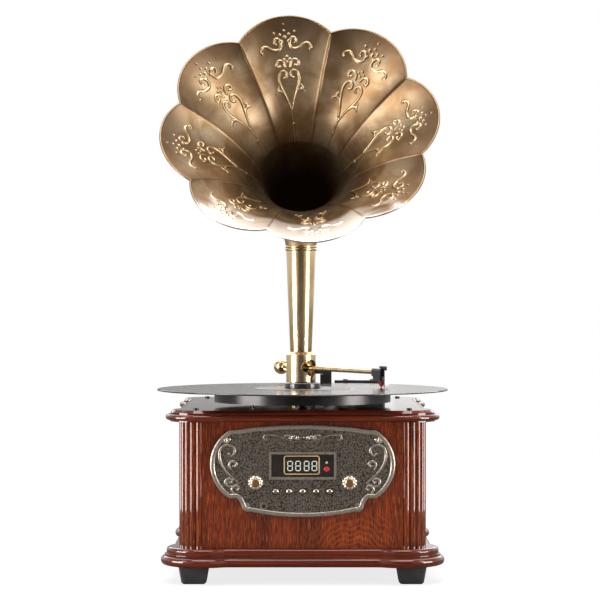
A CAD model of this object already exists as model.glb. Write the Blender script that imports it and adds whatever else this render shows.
import math

import bpy
import numpy as np
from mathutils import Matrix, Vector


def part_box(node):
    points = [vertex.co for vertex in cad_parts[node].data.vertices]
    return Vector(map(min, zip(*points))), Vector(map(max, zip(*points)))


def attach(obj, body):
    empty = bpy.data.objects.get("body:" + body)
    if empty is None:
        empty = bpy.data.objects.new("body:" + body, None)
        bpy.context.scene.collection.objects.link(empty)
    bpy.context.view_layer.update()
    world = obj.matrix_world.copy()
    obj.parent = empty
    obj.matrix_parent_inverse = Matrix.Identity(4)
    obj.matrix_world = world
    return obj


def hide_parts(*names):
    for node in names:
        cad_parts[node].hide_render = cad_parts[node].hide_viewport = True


bl_info = {
    "name": "Horn record player",
    "version": (1, 0, 0),
    "blender": (4, 5, 0),
    "location": "View3D > Sidebar > Record player",
    "description": "Dresses the packed record player: brass horn, lacquered wood, cast control plate and stage",
    "category": "Object",
}

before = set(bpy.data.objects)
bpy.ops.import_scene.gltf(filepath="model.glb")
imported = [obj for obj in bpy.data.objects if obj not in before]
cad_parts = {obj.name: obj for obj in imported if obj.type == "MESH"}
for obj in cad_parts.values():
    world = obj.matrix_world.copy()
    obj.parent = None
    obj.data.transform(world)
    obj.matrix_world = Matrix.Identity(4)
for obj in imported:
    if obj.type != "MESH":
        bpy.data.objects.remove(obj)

# One millimetre in metres
MM = 0.001
# The turntable's axis in Y
SPINDLE_Y = -0.034757
# Height of the deck's underside, above which turned steel is blackened
DECK_UNDERSIDE = 0.165


# Values in a material

class Value:
    """One socket inside a material. Python's arithmetic on it adds Math nodes."""

    def __init__(self, shader, socket):
        self.shader = shader
        self.socket = socket

    def __add__(self, other):
        return self.shader.maths("ADD", self, other)

    def __radd__(self, other):
        return self.shader.maths("ADD", other, self)

    def __sub__(self, other):
        return self.shader.maths("SUBTRACT", self, other)

    def __rsub__(self, other):
        return self.shader.maths("SUBTRACT", other, self)

    def __mul__(self, other):
        return self.shader.maths("MULTIPLY", self, other)

    def __rmul__(self, other):
        return self.shader.maths("MULTIPLY", other, self)

    def __truediv__(self, other):
        return self.shader.maths("DIVIDE", self, other)

    def __pow__(self, other):
        return self.shader.maths("POWER", self, other)

    def __neg__(self):
        return self.shader.maths("MULTIPLY", self, -1.0)

    def __abs__(self):
        return self.shader.maths("ABSOLUTE", self)

    def least(self, other):
        return self.shader.maths("MINIMUM", self, other)

    def most(self, other):
        return self.shader.maths("MAXIMUM", self, other)

    def sine(self):
        return self.shader.maths("SINE", self)

    def root(self):
        return self.shader.maths("SQRT", self)

    def part(self):
        return self.shader.maths("FRACT", self)

    def ease(self, low, high):
        """Smooth step from 0 to 1 as the value goes from low to high."""
        node = self.shader.node("ShaderNodeMapRange", interpolation_type="SMOOTHSTEP", Value=self,
                                From_Min=low, From_Max=high)
        return Value(self.shader, node.outputs[0])

    def blend(self, first, second):
        """A colour from first, at 0, to second, at 1."""
        return self.shader.colour_mix(self, first, second)


class Shader:
    """A principled material and the helpers that fill it."""

    def __init__(self, name, **constants):
        self.material = bpy.data.materials.new(name)
        self.material.use_nodes = True
        self.tree = self.material.node_tree
        self.coordinates = None
        self.surface = self.tree.nodes["Principled BSDF"]
        self.output = self.tree.nodes["Material Output"]
        for socket, value in constants.items():
            self.put(socket.replace("_", " "), value)

    def link(self, value, socket):
        if isinstance(value, Value):
            self.tree.links.new(value.socket, socket)
        elif value is not None:
            if hasattr(socket.default_value, "__len__") and len(socket.default_value) == 4 and len(value) == 3:
                value = (*value, 1.0)
            socket.default_value = value

    def put(self, name, value):
        self.link(value, self.surface.inputs[name])

    def node(self, kind, inputs=None, **words):
        """Any node: words that are its properties are set, and the others are its inputs."""
        made = self.tree.nodes.new(kind)
        for word, value in words.items():
            if word in made.bl_rna.properties:
                setattr(made, word, value)
        for word, value in words.items():
            if word not in made.bl_rna.properties:
                self.link(value, made.inputs[word.replace("_", " ")])
        for place, value in (inputs or {}).items():
            self.link(value, made.inputs[place])
        return made

    def maths(self, operation, *values):
        node = self.node("ShaderNodeMath", dict(enumerate(values)), operation=operation)
        return Value(self, node.outputs[0])

    def colour_mix(self, factor, first, second):
        """A colour from first, at factor 0, to second, at factor 1."""
        node = self.node("ShaderNodeMix", {0: factor, 6: first, 7: second}, data_type="RGBA")
        return Value(self, node.outputs[2])

    def space(self):
        """Object coordinates, in metres, as a vector."""
        if self.coordinates is None:
            self.coordinates = Value(self, self.node("ShaderNodeTexCoord").outputs["Object"])
        return self.coordinates

    def place(self):
        """Object coordinates, in metres, as three values."""
        split = self.node("ShaderNodeSeparateXYZ", Vector=self.space())
        return [Value(self, split.outputs[axis]) for axis in range(3)]

    def vector(self, x, y, z):
        return Value(self, self.node("ShaderNodeCombineXYZ", X=x, Y=y, Z=z).outputs[0])

    def stretched(self, sizes):
        """Object coordinates over a size, or over one for each axis: a pattern of scale 1 gets that size."""
        factors = tuple(1.0 / size for size in (sizes if isinstance(sizes, tuple) else (sizes,) * 3))
        node = self.node("ShaderNodeVectorMath", {0: self.space(), 1: factors}, operation="MULTIPLY")
        return Value(self, node.outputs[0])

    def from_spindle(self, x, y):
        """Distance from the turntable's axis."""
        return (x * x + (y - SPINDLE_Y) ** 2).root()

    def noise(self, vector, detail=3.0, rough=0.5, warp=0.0):
        node = self.node("ShaderNodeTexNoise", Vector=vector, Scale=1.0, Detail=detail, Roughness=rough,
                         Distortion=warp)
        return Value(self, node.outputs[0])

    def grain(self, sizes, detail=3.0, rough=0.5, warp=0.0):
        """Noise with features of these sizes along X, Y and Z."""
        return self.noise(self.stretched(sizes), detail, rough, warp)

    def cells(self, sizes):
        """Distance to the nearest of scattered points, with cells of these sizes."""
        node = self.node("ShaderNodeTexVoronoi", feature="F1", Vector=self.stretched(sizes), Scale=1.0)
        return Value(self, node.outputs[0])

    def attribute(self, name):
        return Value(self, self.node("ShaderNodeAttribute", attribute_name=name).outputs["Fac"])

    def bump(self, height, strength=0.4, distance=0.0005):
        node = self.node("ShaderNodeBump", Height=height, Strength=strength, Distance=distance)
        self.put("Normal", Value(self, node.outputs[0]))
        return self


# Meshes from numbers

def mesh_object(name, points, faces, slot, body, replaced=(), attributes=None, sharp=48):
    """A piece at the origin, in metres, that rides on a body."""
    mesh = bpy.data.meshes.new(name)
    mesh.from_pydata([tuple(p) for p in points], [], [tuple(f) for f in faces])
    for word, values in (attributes or {}).items():
        layer = mesh.attributes.new(word, "FLOAT", "POINT")
        layer.data.foreach_set("value", np.asarray(values, dtype=np.float32))
    mesh.update()
    mesh.shade_smooth()
    mesh.set_sharp_from_angle(angle=math.radians(sharp))
    made = bpy.data.objects.new(name, mesh)
    bpy.context.scene.collection.objects.link(made)
    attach(made, body)
    if replaced:
        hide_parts(*replaced)
    return made


def grid_faces(rows, columns, offset=0, wrap=False, flip=False):
    """Quads of a grid of points stored row by row; wrap joins the last column to the first."""
    across = columns if wrap else columns - 1
    row, column = np.meshgrid(np.arange(rows - 1), np.arange(across), indexing="ij")
    after = (column + 1) % columns
    quads = np.stack([row * columns + column, row * columns + after, (row + 1) * columns + after,
                      (row + 1) * columns + column], -1).reshape(-1, 4) + offset
    return quads[:, ::-1] if flip else quads


def edge_faces(rows, columns, offset):
    """The strips that close a sheet between its front grid and the back grid stored after it."""
    index = np.arange(rows * columns).reshape(rows, columns)
    loop = np.concatenate([index[0, :-1], index[:-1, -1], index[-1, :0:-1], index[:0:-1, 0]])
    after = np.roll(loop, -1)
    return np.stack([loop, loop + offset, after + offset, after], -1)


def curve_points(controls, count):
    """A Catmull-Rom curve through the control points, count points from end to end."""
    controls = np.asarray(controls, dtype=float)
    ends = [2 * controls[0] - controls[1], 2 * controls[-1] - controls[-2]]
    p = np.vstack([ends[0], controls, ends[1]])
    t = np.linspace(0, len(controls) - 1, count)
    k = np.minimum(t.astype(int), len(controls) - 2)
    f = (t - k)[:, None]
    a, b, c, d = p[k], p[k + 1], p[k + 2], p[k + 3]
    return 0.5 * (2 * b + (c - a) * f + (2 * a - 5 * b + 4 * c - d) * f ** 2 + (3 * b - a - 3 * c + d) * f ** 3)


def tube_grid(path, radii, around, up, looped=False):
    """Points of a tube along a path, one ring for each path point."""
    path = np.asarray(path, dtype=float)
    tangent = np.roll(path, -1, 0) - np.roll(path, 1, 0) if looped else np.gradient(path, axis=0)
    tangent /= np.linalg.norm(tangent, axis=1)[:, None] + 1e-12
    side = np.cross(tangent, np.asarray(up, dtype=float))
    side /= np.linalg.norm(side, axis=1)[:, None] + 1e-12
    lift = np.cross(side, tangent)
    turn = np.linspace(0, 2 * np.pi, around, endpoint=False)
    ring = np.cos(turn)[None, :, None] * side[:, None, :] + np.sin(turn)[None, :, None] * lift[:, None, :]
    return path[:, None, :] + ring * np.asarray(radii)[:, None, None]


def tube(path, radii, around=10, up=(0, 1, 0)):
    """Points and faces of a closed tube."""
    points = tube_grid(path, radii, around, up)
    rows = len(points)
    faces = [tuple(f) for f in grid_faces(rows, around, wrap=True)]
    faces.append(tuple(range(around - 1, -1, -1)))
    faces.append(tuple(range((rows - 1) * around, rows * around)))
    return points.reshape(-1, 3), faces


def hoop(path, radius, around=12, flat=1.0):
    """Points and faces of a tube along a closed path that faces -Y; flat is its depth over its width."""
    ring = tube_grid(path, np.full(len(path), radius), around, (0, 1, 0), True)
    ring[..., 1] = path[:, None, 1] + (ring[..., 1] - path[:, None, 1]) * flat
    closed = np.arange(ring.shape[0] * around)
    index = np.concatenate([closed, closed[:around]])
    return ring.reshape(-1, 3), index[grid_faces(len(path) + 1, around, wrap=True)]


def spun(profile, around=96):
    """Points and faces of a closed solid turned about Z from a closed profile of radius and height."""
    profile = np.asarray(profile, dtype=float)
    turn = np.linspace(0, 2 * np.pi, around, endpoint=False)
    points = np.stack([profile[:, :1] * np.cos(turn), profile[:, :1] * np.sin(turn),
                       np.repeat(profile[:, 1:], around, 1)], -1)
    closed = np.concatenate([points, points[:1]])
    index = np.concatenate([np.arange(len(profile) * around), np.arange(around)])
    faces = index[grid_faces(len(closed), around, wrap=True)]
    return points.reshape(-1, 3), faces


def joined(parts):
    """Several pairs of points and faces as one pair."""
    points, faces, count = [], [], 0
    for some_points, some_faces in parts:
        points.append(np.asarray(some_points))
        faces += [tuple(int(i) + count for i in face) for face in some_faces]
        count += len(some_points)
    return np.concatenate(points), faces


def dome(centre, radius, height, rings=6, around=16):
    """A low dome that faces -Y, closed behind."""
    a = np.linspace(0, np.pi / 2, rings + 1)[1:]
    turn = np.linspace(0, 2 * np.pi, around, endpoint=False)
    points = [np.array(centre) + (0, -height, 0)]
    for angle in a:
        ring = np.stack([np.sin(angle) * radius * np.cos(turn), np.full(around, -np.cos(angle) * height),
                         np.sin(angle) * radius * np.sin(turn)], -1)
        points += list(ring + centre)
    faces = [(0, 1 + k, 1 + (k + 1) % around) for k in range(around)]
    faces += [tuple(f) for f in grid_faces(rings, around, 1, wrap=True, flip=True)]
    last = 1 + (rings - 1) * around
    faces.append(tuple(range(last, last + around))[::-1])
    return np.array(points), faces


# Sizes and colours

def size(name, default, description):
    return bpy.props.FloatProperty(name=name, default=default, description=description + ", in millimetres")


def angle(name, default, description):
    return bpy.props.FloatProperty(name=name, default=default, description=description + ", in degrees")


def metres(name, default, description):
    return bpy.props.FloatProperty(name=name, default=default, unit="LENGTH", description=description)


def whole(name, default, description):
    return bpy.props.IntProperty(name=name, default=default, min=3, description=description)


def colour_of(name, default):
    return bpy.props.FloatVectorProperty(name=name, default=default, subtype="COLOR", min=0.0, max=1.0,
                                         description=name + ", as linear red, green and blue")


class HornSizes(bpy.types.PropertyGroup):
    pivot: bpy.props.FloatVectorProperty(name="Column top", default=(-1.5, 135.2425, 341.0),
                                         description="Where the elbow starts, in millimetres")
    turn: angle("Turn", -0.5, "Turn of the whole horn about its column")
    elbow: size("Elbow radius", 87.5, "Radius of the elbow's middle line")
    tilt: angle("Tilt", 31.6, "Rise of the bell's axis towards the front")
    roll: angle("Roll", 7.9, "Turn of the petals about the bell's axis")
    bell: size("Bell length", 94.0, "Straight part of the horn in front of the elbow")
    neck: size("Neck radius", 17.0, "Radius where the horn leaves its column")
    mouth: size("Mouth radius", 148.0, "Radius of the flare at the mouth")
    lobe: size("Lobe radius", 62.0, "Radius of each petal's round edge")
    crease: bpy.props.FloatProperty(name="Crease", default=0.05, subtype="FACTOR", min=0.001, max=0.5,
                                    description="How far the petals draw in between them, over the radius")
    wall: size("Wall", 1.0, "Thickness of the sheet")
    petals: whole("Petals", 8, "Number of petals")
    rim_wire: size("Rim wire", 1.25, "Radius of the rolled rim")
    relief: size("Relief", 0.95, "Height of the pressed ornament")
    columns: whole("Columns", 168, "Points across a petal")
    rows: whole("Rows", 200, "Points along a petal")


class PlateSizes(bpy.types.PropertyGroup):
    face: size("Face", -139.757, "Y of the plate's face")
    foot: size("Foot", 35.4, "Height from which the plate is measured")
    rim_width: size("Rim width", 4.3, "Width of the rounded rim")
    rim_proud: size("Rim height", 1.1, "How far the rim stands in front of the face")
    stroke: bpy.props.FloatProperty(name="Stroke", default=1.0, subtype="FACTOR", min=0.1, max=2.0,
                                    description="Scale of the scrolls' thickness")


class StageSizes(bpy.types.PropertyGroup):
    lens: bpy.props.FloatProperty(name="Lens", default=127.6, unit="CAMERA", description="Focal length")
    distance: metres("Distance", 2.2, "From the turntable's axis to the camera")
    height: metres("Height", 0.2804, "Height of the camera")
    sideways: metres("Sideways", -0.0026, "The camera's X")
    floor: metres("Floor", 6.0, "Half the floor's width")


class FinishColours(bpy.types.PropertyGroup):
    wood_dark: colour_of("Dark wood", (0.030, 0.0028, 0.0004))
    wood_light: colour_of("Light wood", (0.150, 0.018, 0.0024))
    wood_figure: colour_of("Wood figure", (0.24, 0.045, 0.007))
    horn_dark: colour_of("Dark horn brass", (0.25, 0.155, 0.078))
    horn_light: colour_of("Light horn brass", (0.50, 0.385, 0.250))
    horn_relief: colour_of("Rubbed ornament", (0.74, 0.58, 0.35))
    cast_dark: colour_of("Dark cast metal", (0.030, 0.026, 0.021))
    cast_light: colour_of("Rubbed cast metal", (0.56, 0.50, 0.43))


# The horn's surface

class Horn:
    """The flare in numbers. At distance s back from the mouth the radius is mouth * exp(-s / growth)."""

    def __init__(self, sizes):
        self.sizes = sizes
        self.arc = math.radians(90 - sizes.tilt)
        self.length = sizes.bell + sizes.elbow * self.arc
        self.growth = self.length / math.log(sizes.mouth / sizes.neck)
        self.half = math.pi / sizes.petals
        steps = np.linspace(-10, self.length, 1500)
        run = np.sqrt(1 + (self.radius(steps) / self.growth) ** 2)
        along = np.concatenate([[0], np.cumsum((run[1:] + run[:-1]) / 2 * np.diff(steps))])
        self.steps = steps
        self.along = along - np.interp(0, steps, along)

    def radius(self, s):
        return self.sizes.mouth * np.exp(-s / self.growth)

    def surface_run(self, s):
        """Length along the surface from the mouth."""
        return np.interp(s, self.steps, self.along)

    def distance_at(self, run):
        return np.interp(run, self.along, self.steps)

    def section(self, s, u, inset):
        """Across and outward place on a petal: an arc whose edges, at u = -1 and 1, draw in to the creases."""
        wall = inset * np.sqrt(1 + (self.radius(s) / self.growth) ** 2)
        middle = self.radius(s) - wall
        drawn = 1 - self.sizes.crease * (1 - (np.clip(s, 0, None) / self.sizes.bell) ** 2)
        edge = middle * drawn
        x0 = (middle ** 2 - edge ** 2) / (2 * (middle - edge * math.cos(self.half)))
        bow = middle - x0
        reach = np.arctan2(edge * math.sin(self.half), edge * math.cos(self.half) - x0)
        return bow * np.sin(u * reach), x0 + bow * np.cos(u * reach), bow * reach

    def frame(self, s):
        """Origin and outward direction of the cross-section at each distance."""
        turned = np.minimum(self.arc, (self.length - s) / self.sizes.elbow)
        straight = np.maximum(0.0, self.sizes.bell - s)
        y = -self.sizes.elbow * (1 - np.cos(turned)) - straight * math.sin(self.arc)
        z = self.sizes.elbow * np.sin(turned) + straight * math.cos(self.arc)
        return y, z, turned

    def world(self, s, across, outward, spin=0.0):
        """Points of cross-sections in metres; spin turns them about the horn's own axis."""
        y, z, turned = self.frame(s)
        x_local = across * math.cos(spin) - outward * math.sin(spin)
        v_local = across * math.sin(spin) + outward * math.cos(spin)
        y = y + v_local * np.cos(turned)
        z = z + v_local * np.sin(turned)
        a = math.radians(self.sizes.turn)
        px, py, pz = self.sizes.pivot
        return np.stack([px + x_local * math.cos(a) - y * math.sin(a),
                         py + x_local * math.sin(a) + y * math.cos(a), pz + z], -1) * MM

    def rim_distance(self, u):
        """Where the round lobe cuts the petal, by halving."""
        low = np.full_like(u, -9.0)
        high = np.full_like(u, 60.0)
        centre = self.sizes.mouth - self.sizes.lobe
        for _ in range(40):
            mid = (low + high) / 2
            x, y, _w = self.section(mid, u, self.sizes.wall / 2)
            outside = x ** 2 + (y - centre) ** 2 > self.sizes.lobe ** 2
            low = np.where(outside, mid, low)
            high = np.where(outside, high, mid)
        return (low + high) / 2


PETAL_STROKES = (
    ((10.5, 27.0), (12.4, 25.2), (11.2, 21.6), (7.6, 21.4), (5.2, 25.6), (5.2, 30.4), (8.6, 33.6), (14.4, 32.4),
     (19.4, 28.4), (23.8, 26.2), (27.6, 27.2), (28.8, 30.4), (26.8, 32.4)),
    ((2.6, 53.0), (4.6, 47.4), (9.2, 45.2), (12.6, 48.2), (11.2, 52.0), (8.2, 51.2)),
    ((5.2, 65.0), (2.8, 64.0), (2.4, 60.2), (5.4, 57.2), (9.6, 58.8), (11.3, 64.6), (10.2, 72.0), (7.4, 80.0),
     (3.8, 90.0), (0.5, 101.0)),
    ((6.0, 84.4), (8.6, 80.0), (12.6, 78.2), (16.4, 79.8)),
    ((11.6, 78.6), (14.0, 76.0), (12.4, 72.8)),
)
PETAL_DOTS = (
    (0, 6.4, 0.8), (0, 13.4, 1.1), (0, 20.6, 1.7), (5.0, 17.4, 1.3), (11.4, 14.6, 1.0), (4.0, 25.0, 1.5),
    (0, 41.6, 1.2), (3.3, 44.6, 1.2), (0, 47.4, 1.0), (0, 117.0, 1.7),
)
STROKE_WIDTH = 1.32
DOT_SPREAD = 1.25

# The stem down to the throat: its start and end from the mouth, half its width, and its share of the relief
STEM = (101.0, 150.0)
STEM_WIDTH = 0.95
STEM_HEIGHT = 0.8

# The raised line between petals: its height, half its width, and how far it runs down the elbow
CREASE_HEIGHT = 0.8
CREASE_WIDTH = 1.1
CREASE_FADE = 62


def petal_relief(x, run):
    """Height, from 0 to 1, of the pressed ornament: a mirrored pattern around the petal's middle line.

    Each stroke is a ridge 1 - (d / w)^2 for a distance d from it, and the highest ridge counts.
    """
    x = np.abs(x)
    margin = 3
    height = np.zeros_like(x)
    for stroke in PETAL_STROKES:
        points = curve_points(stroke, 12 * len(stroke))
        taper = 0.62 + 0.38 * np.sin(np.linspace(0.25, np.pi - 0.25, len(points)))
        near = x < points[:, 0].max() + margin
        near &= (run > points[:, 1].min() - margin) & (run < points[:, 1].max() + margin)
        px, pr = x[near], run[near]
        best = np.zeros_like(px)
        for (cx, cr), w in zip(points, taper * STROKE_WIDTH):
            best = np.maximum(best, 1 - ((px - cx) ** 2 + (pr - cr) ** 2) / w ** 2)
        height[near] = np.maximum(height[near], best)
    for cx, cr, w in PETAL_DOTS:
        height = np.maximum(height, 1 - ((x - cx) ** 2 + (run - cr) ** 2) / (w * DOT_SPREAD) ** 2)
    stem = 1 - (x / STEM_WIDTH) ** 2
    inside = (run > STEM[0] - 1) & (run < STEM[1])
    height = np.where(inside, np.maximum(height, STEM_HEIGHT * stem), height)
    return np.clip(height, 0, 1) ** 0.7


class PLAYER_OT_horn(bpy.types.Operator):
    """Eight pressed petals with rolled rims, the bent tube behind them and the turned column"""
    bl_idname = "player.horn"
    bl_label = "Horn"

    def execute(self, context):
        sizes = context.scene.horn_sizes
        horn = Horn(sizes)
        self.petals(horn, sizes)
        self.elbow(horn, sizes)
        self.column(sizes)
        return {"FINISHED"}

    def petals(self, horn, sizes):
        """Each petal is a sheet over u, across, and w, from the rim to the elbow.

        Its ornament is pushed in along the sheet's normal, and its back is the same sheet a wall further out.
        """
        rows = sizes.rows
        columns = sizes.columns
        spread = np.linspace(-1, 1, columns)
        u = np.sign(spread) * (1 - (1 - np.abs(spread)) ** 1.15)
        rim = horn.rim_distance(u)
        start = horn.surface_run(rim)
        end = horn.surface_run(sizes.bell)
        w = np.linspace(0, 1, rows)[:, None]
        run = start[None, :] + (end - start[None, :]) * w
        s = horn.distance_at(run)
        uu = np.broadcast_to(u, s.shape)
        across_in, out_in, half_width = horn.section(s, uu, sizes.wall)
        relief = petal_relief(uu * half_width, run)
        gap = (1 - np.abs(uu)) * half_width
        ridge = np.exp(-(gap / CREASE_WIDTH) ** 2) * np.clip(run / 20, 0.35, 1)
        slope = np.arctan2(horn.radius(s), horn.growth)
        push = sizes.relief * relief + CREASE_HEIGHT * ridge
        nose = uu * horn.half
        across = across_in - push * np.cos(slope) * np.sin(nose)
        outward = out_in - push * np.cos(slope) * np.cos(nose)
        front_s = s - push * np.sin(slope)
        across_out, out_out, _w = horn.section(s, uu, 0.0)
        back_push = 0.7 * sizes.relief * relief + CREASE_HEIGHT * ridge
        back_across = across_out - back_push * np.cos(slope) * np.sin(nose)
        back_out = out_out - back_push * np.cos(slope) * np.cos(nose)
        back_s = s - back_push * np.sin(slope)
        faces = np.concatenate([grid_faces(rows, columns), grid_faces(rows, columns, rows * columns, flip=True),
                                edge_faces(rows, columns, rows * columns)[:, ::-1]])
        for k in range(sizes.petals):
            spin = math.radians(sizes.roll + 360 * k / sizes.petals)
            inner = self.flat(horn, front_s, across, outward, spin)
            outer = self.flat(horn, back_s, back_across, back_out, spin)
            wire_points, wire_faces = self.rim_wire(horn, sizes, u, rim, spin)
            points, all_faces = joined([(np.concatenate([inner, outer]), faces), (wire_points, wire_faces)])
            count = rows * columns
            extra = len(wire_points)
            flat_relief = relief.ravel()
            attributes = {
                "relief": np.concatenate([flat_relief, flat_relief * 0.3, np.full(extra, 0.55)]),
                "ridge": np.concatenate([ridge.ravel(), ridge.ravel(), np.zeros(extra)]),
                "depth": np.concatenate([run.ravel(), run.ravel(), np.zeros(extra)]) * MM,
                "outside": np.concatenate([np.zeros(count), np.ones(count), np.zeros(extra)]),
            }
            mesh_object("petal_%d" % (k + 1), points, all_faces, "horn_brass", "horn",
                        ["horn_petal_%d" % (k + 1)], attributes)

    def flat(self, horn, s, across, outward, spin):
        """Bell points, allowing distances in front of the mouth plane."""
        base = horn.world(np.zeros_like(s), across, outward, spin)
        a = math.radians(horn.sizes.turn)
        ahead = math.sin(horn.arc)
        axis = np.array([math.sin(a) * ahead, -math.cos(a) * ahead, math.cos(horn.arc)])
        return (base - s[..., None] * axis * MM).reshape(-1, 3)

    def rim_wire(self, horn, sizes, u, rim, spin):
        """A round wire along the petal's edge."""
        across, outward, _w = horn.section(rim, u, sizes.wall / 2)
        path = self.flat(horn, rim, across, outward, spin)
        axis = np.array([0, -math.sin(horn.arc), math.cos(horn.arc)])
        return tube(path[::2], np.full(len(path[::2]), sizes.rim_wire * MM), 10, axis)

    def elbow(self, horn, sizes):
        """Rings of the flare carried round the elbow, with the creases and stems fading towards the throat."""
        rows, columns = 90, 28 * sizes.petals
        s = np.linspace(sizes.bell, horn.length, rows)[:, None]
        roll = math.radians(sizes.roll)
        turn = np.linspace(0, 2 * np.pi, columns, endpoint=False)[None, :] + roll
        from_crease = np.abs(((turn - roll) % (2 * horn.half)) - horn.half)
        inner_r = horn.radius(s) - sizes.wall * np.sqrt(1 + (horn.radius(s) / horn.growth) ** 2)
        fade = np.clip((sizes.bell + CREASE_FADE - s) / CREASE_FADE, 0, 1)
        crease = CREASE_HEIGHT * np.exp(-(from_crease * inner_r / CREASE_WIDTH) ** 2) * fade
        stem_off = (horn.half - from_crease) * inner_r
        run = horn.surface_run(s) + np.zeros_like(turn)
        stem = STEM_HEIGHT * sizes.relief * np.clip(1 - (stem_off / STEM_WIDTH) ** 2, 0, 1) ** 0.7
        stem = stem * np.clip((STEM[1] - run) / 12, 0, 1)
        skin = np.zeros_like(turn) + s
        inner = inner_r - crease - stem
        outer = horn.radius(s) - crease + np.zeros_like(turn)
        grids = []
        for radius in (inner, outer):
            grids.append(horn.world(skin, -radius * np.sin(turn), radius * np.cos(turn)).reshape(-1, 3))
        count = rows * columns
        faces = np.concatenate([grid_faces(rows, columns, wrap=True, flip=True),
                                grid_faces(rows, columns, count, wrap=True)])
        ends = []
        for row in (0, rows - 1):
            a = row * columns + np.arange(columns)
            b = np.roll(a, -1)
            quad = np.stack([a, b, b + count, a + count], -1)
            ends.append(quad if row == 0 else quad[:, ::-1])
        faces = np.concatenate([faces] + ends)
        relief = np.clip(stem / sizes.relief, 0, 1).ravel()
        ridge = (crease / CREASE_HEIGHT).ravel()
        mesh_object("elbow_tube", np.concatenate(grids), faces, "horn_brass", "horn", ["horn_elbow"],
                    {"relief": np.concatenate([relief, np.zeros(count)]),
                     "ridge": np.concatenate([ridge, ridge]),
                     "depth": np.concatenate([run.ravel(), run.ravel()]) * MM,
                     "outside": np.concatenate([np.zeros(count), np.ones(count)])})

    def column(self, sizes):
        """A tapered tube turned from a profile, with a fillet under its beaded ring."""
        top = sizes.pivot[2]
        low = top - 118.5
        ring = top - 5.6
        bead = [(17.0 + 0.6 * math.sin(a), ring + 1.35 - 1.35 * math.cos(a)) for a in np.linspace(0, np.pi, 9)]
        big = [(16.9 + 0.7 * math.sin(a), ring + 4.15 - 1.45 * math.cos(a)) for a in np.linspace(0, np.pi, 11)]
        body = [(11.9 + 4.4 * t + 0.25 * math.sin(math.pi * t), low + 0.8 + (ring - low - 1.2) * t)
                for t in np.linspace(0, 1, 24)]
        profile = [(8.8, low - 7.8), (10.0, low - 7.8), (10.0, low), (11.5, low), (11.8, low + 0.2)] + body
        profile += [(16.9, ring - 0.1)] + bead + big + [(16.9, top), (15.2, top), (10.7, low), (8.8, low)]
        points, faces = spun(profile)
        points = (points + np.array([sizes.pivot[0], sizes.pivot[1], 0])) * MM
        mesh_object("column_tube", points, [f[::-1] for f in faces], "bright_brass", "horn", ["horn_column"])


# The cast plate's ornament and display

SIDE_STROKES = (
    ((-72.6, 93.4), (-70.2, 91.4), (-66.8, 94.8), (-68.2, 99.8), (-73.9, 102.1), (-79.4, 100.0), (-82.0, 94.0),
     (-81.0, 85.9), (-77.1, 78.2), (-71.0, 71.6), (-65.3, 66.6), (-62.2, 63.9)),
    ((-68.8, 80.9), (-66.4, 80.8), (-65.4, 83.6), (-67.9, 85.9), (-71.2, 84.8), (-72.3, 81.5), (-70.6, 77.4)),
    ((-72.6, 65.2), (-70.6, 64.6), (-69.4, 67.0), (-72.4, 68.9), (-75.7, 67.0), (-75.3, 63.2), (-71.2, 61.0),
     (-65.9, 62.8), (-62.6, 65.0)),
    ((-65.9, 58.2), (-64.3, 57.2), (-62.8, 59.2), (-64.8, 61.9), (-68.3, 60.8), (-69.7, 57.3), (-67.3, 54.2),
     (-63.6, 53.4)),
)
LEAF_STROKES = (
    ((-76.0, 103.6), (-78.2, 106.6), (-79.6, 108.4)),
    ((-75.6, 103.6), (-75.8, 107.2), (-75.2, 110.2)),
    ((-75.2, 103.6), (-72.8, 106.6), (-71.2, 108.8)),
)
TOP_STROKES = (
    ((-34.4, 108.2), (-36.0, 106.8), (-38.2, 108.6), (-36.8, 111.7), (-32.0, 112.3), (-25.0, 111.3),
     (-17.0, 108.4), (-9.0, 105.7), (0.0, 106.4)),
)
TOP_LEAVES = (
    ((-18.4, 110.2), (-15.0, 112.0), (-12.2, 110.4), (-13.0, 108.0)),
    ((-11.4, 107.4), (-9.4, 110.6), (-8.8, 112.2)),
    ((-6.4, 107.4), (-5.2, 109.8), (-5.4, 111.6)),
)
SIDE_BEADS = ((-72.6, 93.6, 1.3), (-68.6, 81.6, 1.0), (-72.4, 65.8, 1.1), (-65.9, 58.8, 1.0))
TOP_BEADS = ((-8.0, 108.4, 1.1), (-4.4, 108.2, 1.2), (-1.4, 109.4, 1.2), (-2.6, 111.4, 0.8))


# Each group of strokes with its half width, and each group of beads with its height over its radius
STROKE_GROUPS = ((SIDE_STROKES, 1.55), (LEAF_STROKES, 1.9), (TOP_STROKES, 1.3), (TOP_LEAVES, 1.7))
BEAD_GROUPS = ((TOP_BEADS, 0.9), (SIDE_BEADS, 1.0))

# The right half of the plate's edge from crest to lobe: each arc's start, middle and end
PLATE_ARCS = (
    ((0, 121.9), (19.0, 121.5), (38.0, 120.2)), ((38.0, 120.2), (46.5, 119.7), (55.0, 118.45)),
    ((55.0, 118.45), (63.5, 117.2), (72.0, 116.7)), ((72.0, 116.7), (91.0, 86.0), (72.5, 49.8)),
    ((72.5, 49.8), (68.5, 49.8), (64.5, 49.8)), ((64.5, 49.8), (61.37, 45.2), (59.8, 40.6)),
    ((59.8, 40.6), (55.9, 36.8), (52.0, 36.8)), ((52.0, 36.8), (26.5, 32.6), (0, 31.2)),
)
ARC_STEPS = 24
RIM_RADIUS = 2.3
RIM_FLATNESS = 0.55
RIM_SUNK = 0.35


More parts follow.
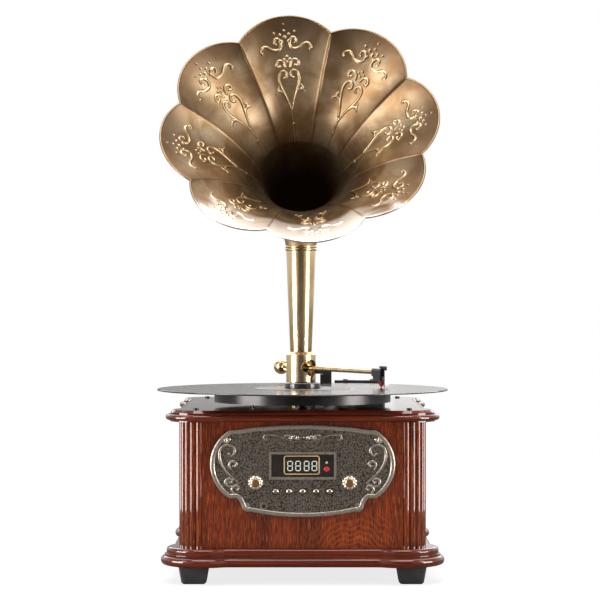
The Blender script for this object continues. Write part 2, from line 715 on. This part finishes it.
class PLAYER_OT_plate(bpy.types.Operator):
    """The cast ornament and rounded rim of the control plate"""
    bl_idname = "player.plate"
    bl_label = "Control plate"

    def execute(self, context):
        sizes = context.scene.plate_sizes
        parts = []
        for side in (1, -1):
            for strokes, width in STROKE_GROUPS:
                parts += [self.stroke(sizes, stroke, side, width * sizes.stroke) for stroke in strokes]
            for beads, rise in BEAD_GROUPS:
                parts += [dome((side * x * MM, sizes.face * MM, (z + sizes.foot) * MM), r * MM, rise * r * MM)
                          for x, z, r in beads]
        points, faces = joined(parts)
        mesh_object("plate_scrolls", points, faces, "pewter", "cabinet")
        rim = self.outline(sizes)
        depth = np.full(len(rim), sizes.face - sizes.rim_proud + RIM_SUNK)
        path = np.stack([rim[:, 0], depth, rim[:, 1] + sizes.foot], -1)
        mesh_object("plate_rim", *hoop(path * MM, RIM_RADIUS * MM, 16, RIM_FLATNESS), "pewter", "cabinet")
        return {"FINISHED"}

    def stroke(self, sizes, controls, side, width):
        """A tube along a curve, thickest past its middle and drawn to a point at both ends."""
        line = curve_points(controls, 9 * len(controls))
        t = np.linspace(0, 1, len(line))
        radii = width * (0.45 + 0.55 * np.sin(np.pi * np.clip(0.12 + 0.8 * t, 0, 1)))
        radii[0] *= 0.4
        radii[-1] *= 0.4
        path = np.stack([side * line[:, 0], np.full(len(line), sizes.face + 0.1), line[:, 1] + sizes.foot], -1)
        return tube(path * MM, radii * MM, 10)

    def outline(self, sizes):
        """The plate's edge, drawn in by half the rim's width: arcs through three points and short lines."""
        points = []
        for first, middle, last in PLATE_ARCS:
            points += [self.arc(first, middle, last, t) for t in np.linspace(0, 1, ARC_STEPS, endpoint=False)]
        points = np.array(points)
        loop = np.concatenate([points, [PLATE_ARCS[-1][-1]], points[:0:-1] * (-1, 1)])
        ahead = np.roll(loop, -1, 0) - np.roll(loop, 1, 0)
        normal = np.stack([ahead[:, 1], -ahead[:, 0]], -1)
        normal /= np.linalg.norm(normal, axis=1)[:, None]
        for _ in range(2):
            normal = (np.roll(normal, 1, 0) + normal + np.roll(normal, -1, 0))
            normal /= np.linalg.norm(normal, axis=1)[:, None]
        return loop + normal * sizes.rim_width / 2

    def arc(self, a, b, c, t):
        """A point of the circle through three points, or of the straight line when they are in line."""
        (ax, ay), (bx, by), (cx, cy) = a, b, c
        d = 2 * (ax * (by - cy) + bx * (cy - ay) + cx * (ay - by))
        if abs(d) < 1e-6:
            return ax + (cx - ax) * t, ay + (cy - ay) * t
        a2, b2, c2 = (x * x + y * y for x, y in (a, b, c))
        ux = (a2 * (by - cy) + b2 * (cy - ay) + c2 * (ay - by)) / d
        uy = (a2 * (cx - bx) + b2 * (ax - cx) + c2 * (bx - ax)) / d
        start, mid, end = (math.atan2(y - uy, x - ux) for x, y in (a, b, c))
        sweep = (end - start) % (2 * math.pi)
        if (mid - start) % (2 * math.pi) > sweep:
            sweep -= 2 * math.pi
        r = math.hypot(ax - ux, ay - uy)
        return ux + r * math.cos(start + sweep * t), uy + r * math.sin(start + sweep * t)


# Button: radius, depth of the dome, and how far its foot lies behind the face
BUTTON_RADIUS = 3.3
BUTTON_DOME = 2.5
BUTTON_FOOT = 0.2

# Knob from its back to its front: radius, depth behind the front, and share of the flutes.
# A depth of None is the knob's full depth.
KNOB_PROFILE = (
    (3.0, None, 0), (3.0, 10.9, 0), (6.6, 10.9, 1), (7.3, 10.2, 1), (7.4, 3.6, 1), (7.0, 2.2, 1), (6.1, 1.2, 1),
    (5.0, 0.95, 0.6), (4.5, 1.1, 0), (4.3, 0.6, 0), (3.6, 0.15, 0), (2.2, 0.0, 0), (0.05, 0.0, 0),
)
FLUTES = 12
FLUTE_DEPTH = 0.16


class PLAYER_OT_controls(bpy.types.Operator):
    """Domed push buttons and the two fluted knobs, each on its own moving body"""
    bl_idname = "player.controls"
    bl_label = "Buttons and knobs"

    def execute(self, context):
        sizes = context.scene.plate_sizes
        for k in range(1, 6):
            self.button(sizes, k)
        for node, body in (("volume_knob", "volume"), ("tuning_knob", "tuning")):
            self.knob(node, body)
        return {"FINISHED"}

    def button(self, sizes, k):
        """A quarter of an ellipse turned about Y, on a straight stem."""
        node = "push_button_%d" % k
        low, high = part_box(node)
        centre = np.array([(low[0] + high[0]) / 2, sizes.face * MM, (low[2] + high[2]) / 2])
        back = (BUTTON_RADIUS, high[1] / MM - sizes.face)
        cap = [(BUTTON_RADIUS * math.sin(a), BUTTON_FOOT - BUTTON_DOME * math.cos(a))
               for a in np.linspace(math.pi / 2, 0.04, 12)]
        points, faces = self.turned([back, back, (BUTTON_RADIUS, BUTTON_FOOT)] + cap, centre, np.ones(40), 40)
        mesh_object("dome_button_%d" % k, points, faces, "antique_brass", "button_%d" % k, [node])

    def knob(self, node, body):
        """The profile turned about Y; in the flutes the radius falls by the square of a cosine's upper half."""
        low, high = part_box(node)
        centre = np.array([(low[0] + high[0]) / 2, low[1], (low[2] + high[2]) / 2])
        deep = (high[1] - low[1]) / MM
        wave = np.cos(np.linspace(0, 2 * np.pi, 144, endpoint=False) * FLUTES)
        flute = 1 - FLUTE_DEPTH * np.clip(wave, 0, 1) ** 2
        profile = [(r, deep if y is None else y) for r, y, _share in KNOB_PROFILE]
        points, faces = self.turned(profile, centre, flute, 144, [share for _r, _y, share in KNOB_PROFILE])
        mesh_object("fluted_" + node, points, faces, "antique_brass", body, [node], sharp=60)

    def turned(self, profile, centre, waves, around, depth=None):
        """A solid turned about Y from radius and depth behind centre; waves scale the radius round the turn."""
        turn = np.linspace(0, 2 * np.pi, around, endpoint=False)
        depth = depth or [0] * len(profile)
        rings = []
        for (radius, y), share in zip(profile, depth):
            r = radius * (1 + (waves - 1) * share) * MM
            rings.append(np.stack([r * np.cos(turn), np.full(around, y * MM), r * np.sin(turn)], -1) + centre)
        faces = [tuple(f) for f in grid_faces(len(rings), around, wrap=True, flip=True)]
        last = (len(rings) - 1) * around
        faces.append(tuple(range(around)))
        faces.append(tuple(range(last + around - 1, last - 1, -1)))
        return np.concatenate(rings), faces


# Display: places are across from the middle and above the plate's foot
DIGIT_CENTRES = (-12.4, -4.5, 3.9, 11.6)
DIGIT_HEIGHT = 81.6
GLASS_PROUD = 1.2
FRAME_CENTRE = (-0.9, 82.5)
FRAME_HALF = (17.2, 8.9)
FRAME_CORNER = 2.0
FRAME_WIRE = 0.6
SIGNAL_X = 23.7


class PLAYER_OT_display(bpy.types.Operator):
    """Seven-bar digits, their gold frame, the red lens and the pale dot on the display window"""
    bl_idname = "player.display"
    bl_label = "Display"

    def execute(self, context):
        sizes = context.scene.plate_sizes
        front = sizes.face - GLASS_PROUD
        bars = []
        for x in DIGIT_CENTRES:
            bars += self.digit(x, DIGIT_HEIGHT, front, sizes.foot)
        points, faces = joined(bars)
        mesh_object("display_digits", points, faces, "lens", "cabinet")
        loop = self.rounded(*FRAME_CENTRE, *FRAME_HALF, FRAME_CORNER)
        path = np.stack([loop[:, 0], np.full(len(loop), front), loop[:, 1] + sizes.foot], -1)
        mesh_object("display_frame", *hoop(path * MM, FRAME_WIRE * MM, 8), "bright_brass", "cabinet")
        for name, z, radius, rise, slot, rings, around in (
                ("signal_lens", 78.4, 2.7, 1.0, "needle_red", 6, 24),
                ("sensor_dot", 85.0, 1.2, 0.4, "lens", 5, 20)):
            centre = (SIGNAL_X * MM, front * MM, (z + sizes.foot) * MM)
            mesh_object(name, *dome(centre, radius * MM, rise * MM, rings, around), slot, "cabinet")
        return {"FINISHED"}

    def digit(self, x, z, front, foot):
        """Seven six-sided bars, each a flat closed prism."""
        w, h, t = 2.3, 4.55, 0.45
        bars = []
        for cx, cz, upright in ((0, h, 0), (0, 0, 0), (0, -h, 0), (w, h / 2, 1), (w, -h / 2, 1), (-w, h / 2, 1),
                                (-w, -h / 2, 1)):
            length = (h / 2 if upright else w) - 0.25
            inner = length - t
            shape = [(-length, 0), (-inner, t), (inner, t), (length, 0), (inner, -t), (-inner, -t)]
            flat = [(q, p) if upright else (p, q) for p, q in shape]
            near, back = ([((x + cx + p) * MM, (front + y) * MM, (z + cz + q + foot) * MM) for p, q in flat]
                          for y in (-0.06, 0.2))
            order = list(range(6)) if upright else list(range(5, -1, -1))
            faces = [tuple(order[::-1]), tuple(6 + i for i in order)]
            faces += [(order[i], order[(i + 1) % 6], 6 + order[(i + 1) % 6], 6 + order[i]) for i in range(6)]
            bars.append((np.array(near + back), faces))
        return bars

    def rounded(self, x, z, half_x, half_z, corner):
        """Even points round an upright rectangle with quarter-round corners."""
        points = []
        for sx, sz, start in ((1, 1, 0), (-1, 1, 90), (-1, -1, 180), (1, -1, 270)):
            for a in np.radians(np.linspace(start, start + 90, 7)):
                points.append((x + sx * (half_x - corner) + corner * math.cos(a),
                               z + sz * (half_z - corner) + corner * math.sin(a)))
        loop = np.array(points + points[:1])
        run = np.concatenate([[0], np.cumsum(np.linalg.norm(np.diff(loop, axis=0), axis=1))])
        even = np.linspace(0, run[-1], 140, endpoint=False)
        return np.stack([np.interp(even, run, loop[:, axis]) for axis in (0, 1)], -1)


# Materials; sizes in metres

# The front panel's arched figure: its foot, its half width and the part of the panel that it fills
FIGURE_X = 0.052
FIGURE_Z = 0.034
FIGURE_WIDTH = 0.021
FIGURE_REACH = 0.05
FIGURE_TOP = 0.082

# The disc: pitch of its rings, width of a track, edge of the label's dead wax and edge of the disc
RING_PITCH = 0.0007
TRACK_WIDTH = 0.0165
DEAD_WAX = (0.052, 0.058)
DISC_EDGE = (0.1455, 0.147)

# Height below which the horn's petals are pale
PALE_BELOW = 0.385
# Distances in front of the origin between which the cast plate's metal goes from dark to rubbed
CAST_PROUD = (0.1400, 0.1411)


def lacquer_wood(name, upright, tints):
    """Red-brown wood under gloss lacquer: long streaks, short dark pores, and arched figure on the panels."""
    shader = Shader(name, Coat_Weight=1.0, Coat_Roughness=0.03, Specular_IOR_Level=0.06)
    x, y, z = shader.place()
    sizes = (0.0022, 0.0022, 0.11) if upright else (0.12, 0.12, 0.0022)
    pores = (0.00038, 0.00038, 0.013) if upright else (0.012, 0.012, 0.0004)
    broad = (0.016, 0.016, 0.3) if upright else (0.3, 0.3, 0.014)
    streak = shader.grain(sizes, 4, 0.6, 0.4)
    wide = shader.grain(broad, 2, 0.5, 0.6)
    pore = shader.grain(pores, 2, 0.5).ease(0.54, 0.66)
    if upright:
        away = ((x - FIGURE_X) / FIGURE_WIDTH) ** 2 + 1.0
        waver = shader.grain((0.02, 0.02, 0.05), 2)
        arch = (z - FIGURE_Z) / FIGURE_Z + away.root() * 0.62 + waver * 0.7
        rings = (arch * 34.0).sine() * 0.5 + 0.5
        near = (1 - (abs(x - FIGURE_REACH) / FIGURE_REACH)).ease(0.0, 0.6) * (FIGURE_TOP - z).ease(0.0, 0.03)
        figure = rings.ease(0.45, 0.95) * near
    else:
        figure = wide * 0.0
    tone = streak.ease(0.34, 0.66) * 0.6 + wide.ease(0.34, 0.66) * 0.4
    filling = (0.46, 0.108, 0.018) if upright else (0.030, 0.003, 0.001)
    colour = tone.blend(tuple(tints.wood_dark), tuple(tints.wood_light))
    colour = shader.colour_mix(figure * 0.45, colour, tuple(tints.wood_figure))
    colour = shader.colour_mix(pore * 0.62, colour, filling)
    shader.put("Base Color", colour)
    shader.put("Roughness", 0.32 - tone * 0.08)
    shader.bump(streak * 0.5 - pore * 0.6, 0.25, 0.00012)
    return shader.material


def horn_metal(tints):
    """Antique brass: gold middle, brown towards the throat and rim, rubbed ornament, fine cross-hatching.

    The lower petals are paler near the rim, as where the plating is polished through.
    """
    shader = Shader("antique horn brass", Metallic=1.0)
    x, y, z = shader.place()
    relief = shader.attribute("relief")
    ridge = shader.attribute("ridge")
    depth = shader.attribute("depth")
    outside = shader.attribute("outside")
    cloud = shader.grain(0.035, 3, 0.55, 0.5)
    fine = shader.grain((0.0012, 0.006, 0.0012), 3, 0.6)
    cross = shader.grain((0.008, 0.0012, 0.0009), 3, 0.6)
    patina = cloud.ease(0.35, 0.7)
    low = (PALE_BELOW - z + (cloud - 0.5) * 0.05).ease(0.0, 0.02) * (1 - outside)
    colour = patina.blend(tuple(tints.horn_dark), tuple(tints.horn_light))
    colour = shader.colour_mix((fine + cross).ease(0.9, 1.25) * 0.35, colour, (0.24, 0.14, 0.06))
    rim = 1 - depth.ease(0.0, 0.045)
    colour = shader.colour_mix(rim * 0.78 * (1 - low), colour, (0.14, 0.080, 0.042))
    throat = depth.ease(0.085, 0.175)
    colour = shader.colour_mix(throat * (1 - outside), colour, (0.020, 0.009, 0.004))
    colour = shader.colour_mix(low * (1 - depth.ease(0.036, 0.046)) * 0.85, colour, (0.90, 0.86, 0.82))
    valley = relief.ease(0.05, 0.3) * (1 - relief.ease(0.3, 0.6))
    crest = relief.ease(0.45, 0.95) * (1 - throat * 0.7)
    colour = shader.colour_mix(valley * 0.7, colour, (0.12, 0.06, 0.025))
    colour = shader.colour_mix(crest * 0.75, colour, tuple(tints.horn_relief))
    colour = shader.colour_mix(ridge.ease(0.25, 0.9) * 0.6 * (1 - throat), colour, (0.11, 0.062, 0.032))
    shader.put("Base Color", colour)
    shader.put("Roughness", 0.30 + (fine * 0.10) - relief * 0.06 + throat * 0.2)
    shader.bump(fine * 0.5 + cross * 0.5, 0.12, 0.0001)
    return shader.material


def brass(name, dark, light, rough, brushed=0.15):
    """Brass with soft clouding and fine turning lines round Z."""
    shader = Shader(name, Metallic=1.0)
    cloud = shader.grain((0.02, 0.02, 0.05), 3, 0.55)
    lines = shader.grain((0.03, 0.03, 0.0004), 2, 0.6)
    speck = shader.grain(0.0015, 2, 0.6)
    colour = cloud.ease(0.3, 0.7).blend(dark, light)
    colour = shader.colour_mix(speck.ease(0.62, 0.75) * 0.4, colour, tuple(0.45 * c for c in dark))
    shader.put("Base Color", colour)
    shader.put("Roughness", rough + lines * 0.08)
    shader.bump(lines, brushed, 0.00006)
    return shader.material


def pewter(tints):
    """Dark cast metal with a pebbled skin and rubbed high spots."""
    shader = Shader("cast pewter", Metallic=0.85)
    x, y, z = shader.place()
    pebble = shader.cells(0.0016)
    cloud = shader.grain(0.0008, 3, 0.7)
    proud = (-y).ease(*CAST_PROUD)
    height = (1 - pebble) * 0.6 + cloud * 0.6
    worn = (height.ease(0.30, 1.00) * 0.62 + proud * 0.48).least(1.0)
    colour = worn.blend(tuple(tints.cast_dark), tuple(tints.cast_light))
    shader.put("Base Color", colour)
    shader.put("Roughness", 0.40 - worn * 0.14)
    shader.bump(height * (1 - proud * 0.7), 0.75, 0.0004)
    return shader.material


def moulded(name, colour, rough, grain=0.0006, strength=0.15, coat=0.0):
    """Moulded plastic, rubber or paint with a fine grain and slight tone changes."""
    shader = Shader(name, Coat_Weight=coat, Coat_Roughness=0.05)
    fine = shader.grain(grain, 2, 0.6)
    wide = shader.grain(0.02, 2, 0.5)
    light = tuple(min(1.0, 1.35 * c + 0.006) for c in colour)
    shader.put("Base Color", wide.ease(0.3, 0.7).blend(colour, light))
    shader.put("Roughness", rough + fine * 0.08)
    shader.bump(fine, strength, 0.0001)
    return shader.material


def brushed_metal(name, colour, rough, high=DECK_UNDERSIDE, sizes=(0.02, 0.0005, 0.0005)):
    """Brushed metal, blackened above a height."""
    shader = Shader(name, Metallic=1.0)
    x, y, z = shader.place()
    lines = shader.grain(sizes, 3, 0.6)
    cloud = shader.grain(0.015, 2, 0.5)
    tint = cloud.ease(0.3, 0.7).blend(tuple(0.8 * c for c in colour), colour)
    shader.put("Base Color", shader.colour_mix(z.ease(high, high + 0.001), tint, (0.03, 0.03, 0.03)))
    shader.put("Roughness", rough + lines * 0.12)
    shader.bump(lines, 0.2, 0.00008)
    return shader.material


def knob_metal():
    """Pale rubbed flutes round a copper-brown centre, measured from the axis of either knob."""
    low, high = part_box("tuning_knob")
    shader = Shader("fluted knob metal", Metallic=1.0)
    x, y, z = shader.place()
    r = ((abs(x) - abs(low[0] + high[0]) / 2) ** 2 + (z - (low[2] + high[2]) / 2) ** 2).root()
    cloud = shader.grain(0.0012, 3, 0.6)
    colour = r.ease(0.0036, 0.0046).blend((0.46, 0.25, 0.12), (0.86, 0.80, 0.69))
    shader.put("Base Color", shader.colour_mix(cloud.ease(0.5, 0.75) * 0.5, colour, (0.22, 0.16, 0.10)))
    shader.put("Roughness", 0.30 + cloud * 0.1)
    shader.bump(cloud, 0.2, 0.0001)
    return shader.material


def vinyl():
    """Black disc: fine rings from the edge to the label, with smooth bands between tracks."""
    shader = Shader("grooved black disc", Specular_IOR_Level=0.6)
    x, y, z = shader.place()
    r = shader.from_spindle(x, y)
    groove = (r * (2 * math.pi / RING_PITCH)).sine()
    band = (r / TRACK_WIDTH + 0.35).part()
    quiet = (1 - band.ease(0.0, 0.06)) + (1 - r.ease(*DEAD_WAX)) + r.ease(*DISC_EDGE)
    ring_noise = shader.noise(shader.vector(r / 0.0016, 0.0, 0.0), 3, 0.7)
    played = (1 - quiet).most(0.0)
    shader.put("Base Color", ring_noise.ease(0.3, 0.7).blend((0.008, 0.008, 0.009), (0.020, 0.020, 0.022)))
    shader.put("Roughness", 0.12 + played * 0.06)
    shader.bump(groove * played * 0.5, 0.05, 0.00004)
    return shader.material


def label():
    """Black paper with two thin gold rings."""
    shader = Shader("printed label paper")
    x, y, z = shader.place()
    r = shader.from_spindle(x, y)
    fibre = shader.grain(0.0008, 3, 0.6)
    outer = r.ease(0.0462, 0.0465) - r.ease(0.0472, 0.0475)
    ring = outer.most(r.ease(0.0238, 0.0241) - r.ease(0.0246, 0.0249))
    colour = fibre.ease(0.3, 0.7).blend((0.020, 0.018, 0.017), (0.036, 0.032, 0.030))
    colour = shader.colour_mix(ring, colour, (0.45, 0.36, 0.20))
    shader.put("Base Color", colour)
    shader.put("Roughness", 0.35 + fibre * 0.1)
    shader.bump(fibre, 0.2, 0.00008)
    return shader.material


def board():
    """Brown pressed board of chips and fibres."""
    shader = Shader("pressed board", Roughness=0.8)
    chips = shader.cells((0.004, 0.004, 0.0015))
    fibre = shader.grain((0.001, 0.004, 0.001), 3, 0.7)
    colour = (chips * 0.6 + fibre * 0.5).ease(0.2, 0.9).blend((0.20, 0.12, 0.06), (0.46, 0.33, 0.20))
    shader.put("Base Color", colour)
    shader.bump(chips * 0.5 + fibre, 0.3, 0.0003)
    return shader.material


def window():
    """Smoked display cover."""
    shader = Shader("smoked display cover", Coat_Weight=0.6, Coat_Roughness=0.03, Specular_IOR_Level=0.5)
    haze = shader.grain(0.01, 2, 0.5)
    shader.put("Base Color", haze.ease(0.3, 0.7).blend((0.006, 0.005, 0.005), (0.014, 0.011, 0.010)))
    shader.put("Roughness", 0.10 + haze * 0.06)
    return shader.material


def lit(name, colour, strength):
    """A faintly glowing display part."""
    shader = Shader(name, Roughness=0.3, Emission_Strength=strength)
    cell = shader.grain(0.0005, 2, 0.5)
    tint = cell.ease(0.2, 0.8).blend(tuple(0.8 * c for c in colour), colour)
    shader.put("Base Color", tint)
    shader.put("Emission Color", tint)
    return shader.material


def circuit():
    """Green board with winding lighter tracks."""
    shader = Shader("green circuit board", Roughness=0.35)
    x, y, z = shader.place()
    wander = shader.grain(0.02, 2)
    tracks = (x / 0.0025 + wander * 3.0).part().ease(0.55, 0.65)
    shader.put("Base Color", tracks.blend((0.012, 0.075, 0.028), (0.03, 0.16, 0.06)))
    return shader.bump(tracks, 0.3, 0.0001).material


class PLAYER_OT_finishes(bpy.types.Operator):
    """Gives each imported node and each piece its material"""
    bl_idname = "player.finishes"
    bl_label = "Finishes"

    def execute(self, context):
        tints = context.scene.finish_colours
        upright = lacquer_wood("lacquered panel wood", True, tints)
        level = lacquer_wood("lacquered moulding wood", False, tints)
        horn = horn_metal(tints)
        bright = brass("pale polished brass", (0.52, 0.38, 0.20), (0.76, 0.60, 0.36), 0.17)
        aged = brass("aged brass", (0.20, 0.15, 0.09), (0.44, 0.35, 0.22), 0.26)
        cast = pewter(tints)
        black = moulded("satin black plastic", (0.012, 0.012, 0.013), 0.38)
        gloss = moulded("gloss black plastic", (0.008, 0.008, 0.009), 0.14, coat=0.5)
        deck = moulded("gloss black deck", (0.012, 0.012, 0.014), 0.10, 0.004, 0.04, 0.8)
        rubber = moulded("black rubber", (0.018, 0.018, 0.019), 0.62, 0.0007, 0.35)
        steel = brushed_metal("turned steel", (0.62, 0.62, 0.63), 0.22)
        bright_steel = brushed_metal("bright steel", (0.62, 0.62, 0.63), 0.2, 1.0)
        dark_metal = brushed_metal("dark satin metal", (0.05, 0.05, 0.052), 0.24, 1.0)
        finishes = {
            upright: ["front_panel", "rear_panel", "left_panel", "right_panel", "corner_posts"],
            level: ["base_moulding", "top_moulding"],
            horn: ["petal_%d" % k for k in range(1, 9)] + ["elbow_tube"],
            bright: ["column_tube", "arm_housing", "arm_tube", "counterweight"],
            aged: ["arm_yoke"],
            brass("rubbed control metal", (0.34, 0.29, 0.22), (0.66, 0.59, 0.49), 0.20):
                ["dome_button_%d" % k for k in range(1, 6)],
            knob_metal(): ["fluted_volume_knob", "fluted_tuning_knob"],
            brass("rubbed socket ring", (0.30, 0.28, 0.25), (0.62, 0.59, 0.54), 0.30): ["headphone_socket"],
            moulded("gold paint", (0.40, 0.26, 0.11), 0.42, 0.0005): ["display_frame"],
            cast: ["fascia_plate", "display_bezel", "plate_scrolls", "plate_rim"],
            black: ["cartridge", "arm_rest", "control_box", "rear_sockets", "display_module"],
            gloss: ["record_adapter", "headshell"],
            deck: ["deck_plate"],
            rubber: ["feet", "drive_belt"],
            steel: ["cabinet_screws", "control_shafts", "platter_bearing", "motor"],
            bright_steel: ["speed_lever", "stop_lever", "arm_pivot_pin"],
            dark_metal: ["platter", "transformer", "motor_pulley"],
            vinyl(): ["record"],
            label(): ["record_label"],
            board(): ["bottom_board"],
            window(): ["display_window"],
            moulded("red moulded plastic", (0.42, 0.012, 0.014), 0.22, coat=0.4): ["needle", "signal_lens"],
            moulded("black paper cone", (0.03, 0.03, 0.032), 0.7, 0.0012, 0.4): ["speakers"],
            moulded("black perforated steel", (0.014, 0.014, 0.015), 0.34): ["speaker_grilles"],
            lit("pale display bars", (0.62, 0.66, 0.56), 0.12): ["display_digits"],
            lit("pale sensor dot", (0.45, 0.42, 0.36), 0.1): ["sensor_dot"],
            circuit(): ["front_board", "main_board"],
        }
        for material, names in finishes.items():
            for name in names:
                made = bpy.data.objects[name] if name in bpy.data.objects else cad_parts[name]
                made.data.materials.clear()
                made.data.materials.append(material)
        return {"FINISHED"}


# Camera, floor and light

class PLAYER_OT_camera(bpy.types.Operator):
    """A long lens in front of the record, level with the column"""
    bl_idname = "player.camera"
    bl_label = "Camera"

    def execute(self, context):
        sizes = context.scene.stage_sizes
        data = bpy.data.cameras.new("view")
        data.lens = sizes.lens
        data.sensor_width = 36.0
        data.clip_end = 50.0
        camera = bpy.data.objects.new("view", data)
        camera.location = (sizes.sideways, SPINDLE_Y - sizes.distance, sizes.height)
        camera.rotation_euler = (math.radians(90), 0, 0)
        context.scene.collection.objects.link(camera)
        context.scene.camera = camera
        return {"FINISHED"}


# Lamps: name, place, target, width and height, power, colour; a gleam is seen only in glossy surfaces
WARM = (1.0, 0.97, 0.94)
ROSE = (1.0, 0.90, 0.87)
WHITE = (1.0, 1.0, 1.0)
LAMPS = (
    ("left", (-1.7, -1.0, 0.9), (0, 0, 0.2), (0.45, 1.7), 17, WARM),
    ("right", (1.7, -1.0, 0.9), (0, 0, 0.2), (0.40, 1.7), 14, WARM),
    ("left gleam", (-0.75, -0.33, 0.13), (0, -0.05, 0.13), (0.42, 0.25), 5.6, ROSE),
    ("right gleam", (0.75, -0.33, 0.13), (0, -0.05, 0.13), (0.36, 0.25), 4.4, ROSE),
    ("above", (0.0, -0.7, 2.2), (0, 0, 0.3), (1.8, 1.2), 44, WHITE),
    ("behind", (0.0, 1.8, 1.2), (0, 0, 0.35), (2.4, 1.2), 22, WHITE),
)


class PLAYER_OT_stage(bpy.types.Operator):
    """A pale floor, soft lamps and a room for the metal to reflect"""
    bl_idname = "player.stage"
    bl_label = "Stage"

    def execute(self, context):
        sizes = context.scene.stage_sizes
        half = sizes.floor
        mesh = bpy.data.meshes.new("floor")
        corners = [(-half, -half, 0), (half, -half, 0), (half, half, 0), (-half, half, 0)]
        mesh.from_pydata(corners, [], [(0, 1, 2, 3)])
        floor = bpy.data.objects.new("floor", mesh)
        context.scene.collection.objects.link(floor)
        floor.data.materials.append(self.floor_material())
        for lamp in LAMPS:
            self.lamp(context, *lamp)
        self.world(context)
        context.scene.view_settings.view_transform = "Standard"
        return {"FINISHED"}

    def lamp(self, context, name, place, target, size, power, colour):
        data = bpy.data.lights.new(name, "AREA")
        data.shape = "RECTANGLE"
        data.size, data.size_y = size
        data.energy = power
        data.color = colour
        lamp = bpy.data.objects.new(name, data)
        lamp.location = place
        away = np.array(place) - np.array(target)
        lamp.rotation_euler = (math.acos(away[2] / np.linalg.norm(away)), 0, math.atan2(away[0], -away[1]))
        lamp.visible_camera = False
        lamp.visible_diffuse = not name.endswith("gleam")
        context.scene.collection.objects.link(lamp)

    def floor_material(self):
        """Diffuse and pale; the camera sees it near white, and polished metal sees it dimmer."""
        shader = Shader("pale floor", Roughness=0.9, Specular_IOR_Level=0.0)
        path = shader.node("ShaderNodeLightPath")
        seen = Value(shader, path.outputs["Is Camera Ray"])
        mirrored = Value(shader, path.outputs["Is Glossy Ray"])
        colour = shader.colour_mix(mirrored, (0.82, 0.82, 0.82), (0.16, 0.14, 0.12))
        shader.put("Base Color", shader.colour_mix(seen, colour, (0.9, 0.9, 0.9)))
        glow = shader.node("ShaderNodeEmission", Color=(1.0, 1.0, 1.0), Strength=1.0)
        x, y, z = shader.place()
        far = (x * x + y * y).root().ease(0.22, 0.75)
        lit_floor = Value(shader, shader.surface.outputs[0])
        inputs = {0: seen * (0.80 + far * 0.20), 1: lit_floor, 2: Value(shader, glow.outputs[0])}
        mix = shader.node("ShaderNodeMixShader", inputs)
        shader.tree.links.new(mix.outputs[0], shader.output.inputs["Surface"])
        return shader.material

    def world(self, context):
        """White to the camera; to metal a bright ceiling over a dim, warm room."""
        world = bpy.data.worlds.new("room")
        context.scene.world = world
        world.use_nodes = True
        shader = Shader.__new__(Shader)
        shader.tree = world.node_tree
        back = shader.tree.nodes["Background"]
        path = shader.node("ShaderNodeLightPath")
        seen = Value(shader, path.outputs["Is Camera Ray"])
        vector = Value(shader, shader.node("ShaderNodeTexCoord").outputs["Generated"])
        split = shader.node("ShaderNodeSeparateXYZ", Vector=vector)
        x, y, z = (Value(shader, split.outputs[axis]) for axis in range(3))
        ceiling = z.ease(0.20, 0.75) * 0.42
        doorway = x.ease(0.002, 0.012) * (1 - x.ease(0.036, 0.046))
        rear = y.ease(0.1, 0.7) * (0.28 + x.ease(-0.03, 0.02) * 0.47 + doorway * 0.7)
        level = 1 - abs(z).ease(0.28, 0.50)
        sides = abs(x).ease(0.30, 0.62) * level * 1.25
        window = z.ease(0.66, 0.82) * y.ease(0.16, 0.36)
        tone = (0.10 + ceiling + rear * (1 - ceiling) + sides).least(1.5)
        room = tone.blend((0.030, 0.022, 0.015), (1.0, 0.98, 0.96))
        room = shader.colour_mix(window, room, (3.4, 3.3, 3.2))
        shader.link(shader.colour_mix(seen, room, (1.0, 1.0, 1.0)), back.inputs["Color"])
        back.inputs["Strength"].default_value = 1.0


class PLAYER_PT_panel(bpy.types.Panel):
    """Buttons for each group of pieces"""
    bl_idname = "PLAYER_PT_panel"
    bl_label = "Record player"
    bl_space_type = "VIEW_3D"
    bl_region_type = "UI"
    bl_category = "Record player"

    def draw(self, context):
        for step in STEPS:
            self.layout.operator(step.bl_idname)
        self.layout.prop(context.scene.horn_sizes, "relief")


STEPS = (PLAYER_OT_camera, PLAYER_OT_horn, PLAYER_OT_plate, PLAYER_OT_controls, PLAYER_OT_display,
         PLAYER_OT_stage, PLAYER_OT_finishes)
GROUPS = {"horn_sizes": HornSizes, "plate_sizes": PlateSizes, "stage_sizes": StageSizes,
          "finish_colours": FinishColours}


def register():
    for made in (*GROUPS.values(), *STEPS, PLAYER_PT_panel):
        bpy.utils.register_class(made)
    for name, group in GROUPS.items():
        setattr(bpy.types.Scene, name, bpy.props.PointerProperty(type=group))


def unregister():
    for name in GROUPS:
        delattr(bpy.types.Scene, name)
    for made in (PLAYER_PT_panel, *reversed(STEPS), *GROUPS.values()):
        bpy.utils.unregister_class(made)


def main():
    register()
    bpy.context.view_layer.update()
    for step in STEPS:
        group, name = step.bl_idname.split(".")
        getattr(getattr(bpy.ops, group), name)()


if __name__ == "__main__":
    main()
